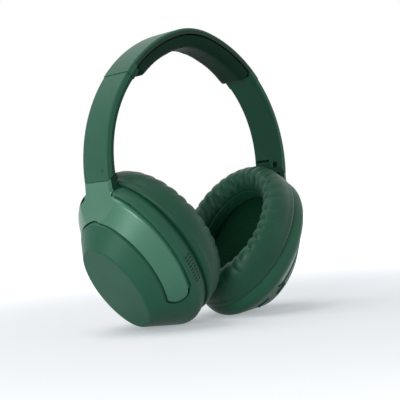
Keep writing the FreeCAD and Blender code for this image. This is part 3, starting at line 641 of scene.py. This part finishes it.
def build_cushion(cup, materials):
    """The soft ring: a stuffed skin, gathered in pleats round the hole and seamed inside it."""
    section = closed_spline(SECTION, CUSHION_ROWS)
    verts, held = [], []
    for i in range(CUSHION_TURNS):
        turn = 2 * math.pi * i / CUSHION_TURNS
        for j, (share_y, share_z, deep) in enumerate(section):
            half_y, half_z = between_ovals(share_y, share_z)
            if deep < CUSHION_HELD:
                held.append(i * CUSHION_ROWS + j)
            verts.append((CUSHION_START - CUSHION_DEPTH * deep, math.sin(turn) * half_y,
                          math.cos(turn) * half_z - SEAM_DROP))
    obj = mesh_object(cup.side + "_cushion_cover", cup.world(np.array(verts)),
                      ring_faces(CUSHION_TURNS, CUSHION_ROWS))
    face_outward(obj)
    shrink(obj, held, CUSHION_SLACK)
    inflate(obj, held, CUSHION_PRESSURE, CUSHION_SWELL)
    subdivide(obj, CUSHION_LEVELS)
    points = cup.local(coordinates_of(obj))
    normals = cup.local(coordinates_of(obj) + normals_of(obj)) - points
    depth = (CUSHION_START - points[:, 0]) / CUSHION_DEPTH
    share, turn = cushion_share(points)
    folds = np.interp(turn + PLEAT_SWAY * np.sin(PLEAT_WAVES * depth), *pleat_profile())
    face = smooth_step(*PLEAT_RISE, depth) * (1 - PLEAT_FADED * smooth_step(*PLEAT_FADE, share))
    seam = np.exp(-((depth - SEAM_AT) / SEAM_WIDTH) ** 2) * (share < WALL_SHARE)
    points -= normals * (folds * face * PLEAT_DEPTH + seam * SEAM_DEPTH)[:, None]
    set_coordinates(obj, cup.world(points))
    finish_piece(obj, cup.side + "_cup", "cushion_leather", materials)
    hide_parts(cup.side + "_ear_cushion")


# Headband pad

def build_pad(materials):
    """The pad's solid as a rounded skin, stuffed with its back held against the carrier."""
    source = frame["nodes"]["headband_pad"]
    obj = source.copy()
    obj.data = source.data.copy()
    obj.name = obj.data.name = "headband_pad_cover"
    for key in list(obj.keys()):
        del obj[key]
    obj.parent = None
    bpy.context.scene.collection.objects.link(obj)
    remesh = obj.modifiers.new("remesh", "REMESH")
    remesh.mode = "VOXEL"
    remesh.voxel_size = PAD_VOXEL
    relax = obj.modifiers.new("relax", "SMOOTH")
    relax.iterations = PAD_RELAX_STEPS
    relax.factor = PAD_RELAX
    apply_modifiers(obj)
    depth = band_depth(coordinates_of(obj))
    held = np.flatnonzero(depth < depth.min() + PAD_HELD)
    inflate(obj, held, PAD_PRESSURE, PAD_SWELL)
    subdivide(obj, PAD_LEVELS)
    finish_piece(obj, "headband", "pad_leather", materials)
    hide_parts("headband_pad")


# Vents

def build_vents(cup, materials):
    """Two columns of small slits, each a dark bar with round ends that lies just above the ring."""
    verts, faces = [], []
    for out in VENT_OUTS:
        for k in range(VENT_ROWS):
            turn = -cup.sign * (VENT_FROM + (VENT_TO - VENT_FROM) * k / (VENT_ROWS - 1))
            first = len(verts)
            for lift, grow in VENT_RINGS:
                for i in range(VENT_POINTS):
                    a = 2 * math.pi * i / VENT_POINTS
                    bar = (VENT_LENGTH - VENT_WIDTH) / 2 * (1 if math.cos(a) > 0 else -1)
                    along = bar + math.cos(a) * VENT_WIDTH / 2 * grow
                    across = math.sin(a) * VENT_WIDTH / 2 * grow / BELLY_HALF[1]
                    verts.append(ring_surface(out + along, turn + across, lift))
            for ring in range(len(VENT_RINGS) - 1):
                for i in range(VENT_POINTS):
                    a = first + ring * VENT_POINTS + i
                    b = first + ring * VENT_POINTS + (i + 1) % VENT_POINTS
                    faces.append((a, b, b + VENT_POINTS, a + VENT_POINTS))
            last = first + (len(VENT_RINGS) - 1) * VENT_POINTS
            faces.append(tuple(last + i for i in range(VENT_POINTS)))
            faces.append(tuple(first + i for i in reversed(range(VENT_POINTS))))
    obj = mesh_object(cup.side + "_vents", cup.world(np.array(verts)), faces, smooth=False)
    face_outward(obj)
    set_material(obj, materials["slit_shadow"])
    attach(obj, cup.side + "_cup")


# Stage

def seen_rays(nodes, links):
    """1 for what the camera sees, directly, in a reflection or through glass."""
    path = nodes.new("ShaderNodeLightPath")
    seen = math_node(nodes, links, "MAXIMUM", path.outputs["Is Camera Ray"], path.outputs["Is Glossy Ray"])
    return math_node(nodes, links, "MAXIMUM", seen, path.outputs["Is Transmission Ray"])


def far_glow(nodes, links):
    """The floor's own white: full far from the object, less near it, where the object's shadow falls."""
    length = nodes.new("ShaderNodeVectorMath")
    length.operation = "LENGTH"
    links.new(coordinates(nodes), length.inputs[0])
    reach = nodes.new("ShaderNodeMapRange")
    reach.interpolation_type = "SMOOTHSTEP"
    reach.inputs["From Min"].default_value = NEAR_FLOOR
    reach.inputs["From Max"].default_value = FAR_FLOOR
    reach.inputs["To Min"].default_value = NEAR_GLOW
    reach.inputs["To Max"].default_value = 1.0
    links.new(length.outputs["Value"], reach.inputs["Value"])
    return reach.outputs["Result"]


def build_floor():
    corners = [(x * FLOOR_SIZE, y * FLOOR_SIZE, 0) for x, y in ((-1, -1), (1, -1), (1, 1), (-1, 1))]
    floor = mesh_object("floor", corners, [(0, 1, 2, 3)], smooth=False)
    mat, nodes, links, shader = new_material("floor_white")
    shader.inputs["Base Color"].default_value = FLOOR_COLOUR
    shader.inputs["Roughness"].default_value = FLOOR_ROUGHNESS
    glow = nodes.new("ShaderNodeEmission")
    glow.inputs["Color"].default_value = GLOW_COLOUR
    links.new(math_node(nodes, links, "MULTIPLY", seen_rays(nodes, links), far_glow(nodes, links)),
              glow.inputs["Strength"])
    add = nodes.new("ShaderNodeAddShader")
    links.new(shader.outputs["BSDF"], add.inputs[0])
    links.new(glow.outputs["Emission"], add.inputs[1])
    links.new(add.outputs["Shader"], nodes["Material Output"].inputs["Surface"])
    set_material(floor, mat)


def build_world():
    world = bpy.data.worlds.new("studio")
    bpy.context.scene.world = world
    world.use_nodes = True
    nodes, links = world.node_tree.nodes, world.node_tree.links
    nodes.clear()
    mix = nodes.new("ShaderNodeMixShader")
    links.new(seen_rays(nodes, links), mix.inputs["Fac"])
    for socket, colour, strength in ((1, SKY_COLOUR, SKY_STRENGTH), (2, (1, 1, 1, 1), 1.0)):
        background = nodes.new("ShaderNodeBackground")
        background.inputs["Color"].default_value = colour
        background.inputs["Strength"].default_value = strength
        links.new(background.outputs["Background"], mix.inputs[socket])
    output = nodes.new("ShaderNodeOutputWorld")
    links.new(mix.outputs["Shader"], output.inputs["Surface"])


def build_lights():
    for name, place, size, power in LAMPS:
        light = bpy.data.lights.new(name, "AREA")
        light.shape = "RECTANGLE"
        light.size, light.size_y = size
        light.energy = power
        obj = bpy.data.objects.new(name, light)
        obj.location = place
        obj.rotation_euler = (LAMP_TARGET - Vector(place)).to_track_quat("-Z", "Y").to_euler()
        bpy.context.scene.collection.objects.link(obj)


def build_camera():
    back = Vector((-math.sin(AZIMUTH) * math.cos(ELEVATION), -math.cos(AZIMUTH) * math.cos(ELEVATION),
                   math.sin(ELEVATION)))
    right = Vector((math.cos(AZIMUTH), -math.sin(AZIMUTH), 0))
    up = back.cross(right)
    rolled_right = right * math.cos(ROLL) + up * math.sin(ROLL)
    rolled_up = up * math.cos(ROLL) - right * math.sin(ROLL)
    camera = bpy.data.cameras.new("camera")
    camera.sensor_width = SENSOR
    camera.lens = FOCAL_PIXELS / PHOTO_PIXELS * SENSOR
    camera.clip_start = CLIP_START
    obj = bpy.data.objects.new("camera", camera)
    turn = Matrix((rolled_right, rolled_up, back)).transposed()
    obj.matrix_world = Matrix.Translation(LOOK_AT + back * DISTANCE) @ turn.to_4x4()
    bpy.context.scene.collection.objects.link(obj)
    bpy.context.scene.camera = obj


for item in list(bpy.data.objects):
    bpy.data.objects.remove(item)
bpy.context.scene.view_settings.view_transform = "Standard"
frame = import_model()
MATERIALS = make_materials()
dress_nodes(MATERIALS)
for side_name in SIDES:
    build_cushion(CupFrame(side_name), MATERIALS)
    build_vents(CupFrame(side_name), MATERIALS)
build_pad(MATERIALS)
build_floor()
build_world()
build_lights()
build_camera()
